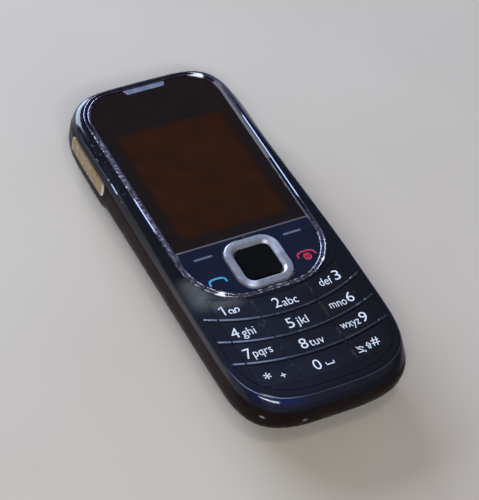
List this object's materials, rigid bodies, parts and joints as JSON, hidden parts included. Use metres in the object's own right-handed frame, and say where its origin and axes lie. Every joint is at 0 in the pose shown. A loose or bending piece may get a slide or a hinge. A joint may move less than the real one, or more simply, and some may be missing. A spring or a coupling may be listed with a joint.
{
  "type": "feature phone",
  "caption": "Candybar feature phone with a display window, navigation ring, rocker keys, curved number key rows and a sliding battery cover.",
  "frame": {"origin": "under the middle of the phone's outline, at the lowest point of the rear hump", "axes": "+X to the right of the keypad, +Y to the earpiece end, +Z out of the front"},
  "size_m": [0.0462, 0.107, 0.0138],
  "materials": {
    "front_black": "moulded gloss",
    "rear_black": "moulded gloss",
    "trim_chrome": "worn plating",
    "window_black": "clear lens with a black rear print",
    "bar_silver": "silver paint",
    "ring_silver": "satin silver paint",
    "insert_silver": "champagne metallic paint",
    "function_blue": "gloss",
    "key_black": "gloss",
    "display_brown": "switched-off display",
    "white_plastic": "moulded",
    "grey_plastic": "moulded",
    "rubber_mat": "translucent silicone",
    "board_green": "solder mask",
    "tin_plate": "tinned",
    "gold_plate": "plated",
    "cell_can": "wrapped can",
    "screw_steel": "plain"
  },
  "bodies": {
    "phone": {"front_cover": "front_black", "window_trim": "trim_chrome", "display_window": "window_black", "earpiece_grille": "bar_silver", "earpiece_receiver": "grey_plastic", "lcd_panel": "display_brown", "lcd_light_guide": "white_plastic", "key_mat": "rubber_mat", "dome_sheet": "tin_plate", "circuit_board": "board_green", "shield_cans": "tin_plate", "microphone": "tin_plate", "vibration_motor": "tin_plate", "loudspeaker": "grey_plastic", "antenna": "gold_plate", "battery_contacts": "gold_plate", "housing_screws": "screw_steel", "battery": "cell_can", "sim_holder": "tin_plate", "charger_socket": "grey_plastic", "headset_socket": "grey_plastic", "rear_housing": "rear_black", "side_trims": "insert_silver"},
    "key_1": {"key_1": "key_black"},
    "key_2": {"key_2": "key_black"},
    "key_3": {"key_3": "key_black"},
    "key_4": {"key_4": "key_black"},
    "key_5": {"key_5": "key_black"},
    "key_6": {"key_6": "key_black"},
    "key_7": {"key_7": "key_black"},
    "key_8": {"key_8": "key_black"},
    "key_9": {"key_9": "key_black"},
    "key_star": {"key_star": "key_black"},
    "key_0": {"key_0": "key_black"},
    "key_hash": {"key_hash": "key_black"},
    "select_key": {"select_key": "key_black"},
    "left_function_key": {"left_function_key": "function_blue"},
    "right_function_key": {"right_function_key": "function_blue"},
    "navi_carrier": {"navi_carrier": "grey_plastic"},
    "navi_ring": {"navi_ring": "ring_silver"},
    "battery_cover": {"battery_cover": "rear_black"}
  },
  "joints": [
    {"name": "key_1_press", "type": "slide", "parent": "phone", "child": "key_1", "axis": [0, 0, -1], "range_m": [0, 0.0003], "stiffness_N_per_m": 2000},
    {"name": "key_2_press", "type": "slide", "parent": "phone", "child": "key_2", "axis": [0, 0, -1], "range_m": [0, 0.0003], "stiffness_N_per_m": 2000},
    {"name": "key_3_press", "type": "slide", "parent": "phone", "child": "key_3", "axis": [0, 0, -1], "range_m": [0, 0.0003], "stiffness_N_per_m": 2000},
    {"name": "key_4_press", "type": "slide", "parent": "phone", "child": "key_4", "axis": [0, 0, -1], "range_m": [0, 0.0003], "stiffness_N_per_m": 2000},
    {"name": "key_5_press", "type": "slide", "parent": "phone", "child": "key_5", "axis": [0, 0, -1], "range_m": [0, 0.0003], "stiffness_N_per_m": 2000},
    {"name": "key_6_press", "type": "slide", "parent": "phone", "child": "key_6", "axis": [0, 0, -1], "range_m": [0, 0.0003], "stiffness_N_per_m": 2000},
    {"name": "key_7_press", "type": "slide", "parent": "phone", "child": "key_7", "axis": [0, 0, -1], "range_m": [0, 0.0003], "stiffness_N_per_m": 2000},
    {"name": "key_8_press", "type": "slide", "parent": "phone", "child": "key_8", "axis": [0, 0, -1], "range_m": [0, 0.0003], "stiffness_N_per_m": 2000},
    {"name": "key_9_press", "type": "slide", "parent": "phone", "child": "key_9", "axis": [0, 0, -1], "range_m": [0, 0.0003], "stiffness_N_per_m": 2000},
    {"name": "key_star_press", "type": "slide", "parent": "phone", "child": "key_star", "axis": [0, 0, -1], "range_m": [0, 0.0003], "stiffness_N_per_m": 2000},
    {"name": "key_0_press", "type": "slide", "parent": "phone", "child": "key_0", "axis": [0, 0, -1], "range_m": [0, 0.0003], "stiffness_N_per_m": 2000},
    {"name": "key_hash_press", "type": "slide", "parent": "phone", "child": "key_hash", "axis": [0, 0, -1], "range_m": [0, 0.0003], "stiffness_N_per_m": 2000},
    {"name": "select_key_press", "type": "slide", "parent": "phone", "child": "select_key", "axis": [0, 0, -1], "range_m": [0, 0.0003], "stiffness_N_per_m": 2000},
    {"name": "left_function_rock", "type": "hinge", "parent": "phone", "child": "left_function_key", "pos_m": [-0.0123, -0.00965, 0.01145], "axis": [1, 0, 0], "range_deg": [-2, 2], "stiffness_Nm_per_rad": 0.3},
    {"name": "right_function_rock", "type": "hinge", "parent": "phone", "child": "right_function_key", "pos_m": [0.0123, -0.00965, 0.01145], "axis": [1, 0, 0], "range_deg": [-2, 2], "stiffness_Nm_per_rad": 0.3},
    {"name": "navi_tilt_sideways", "type": "hinge", "parent": "phone", "child": "navi_carrier", "pos_m": [0, -0.0109, 0.01185], "axis": [0, 1, 0], "range_deg": [-1.4, 1.4], "stiffness_Nm_per_rad": 0.3},
    {"name": "navi_tilt_lengthwise", "type": "hinge", "parent": "navi_carrier", "child": "navi_ring", "pos_m": [0, -0.0109, 0.0121], "axis": [1, 0, 0], "range_deg": [-1.4, 1.4], "stiffness_Nm_per_rad": 0.3},
    {"name": "battery_cover_slide", "type": "slide", "parent": "phone", "child": "battery_cover", "axis": [0, -1, 0], "range_m": [0, 0.08]}
  ]
}
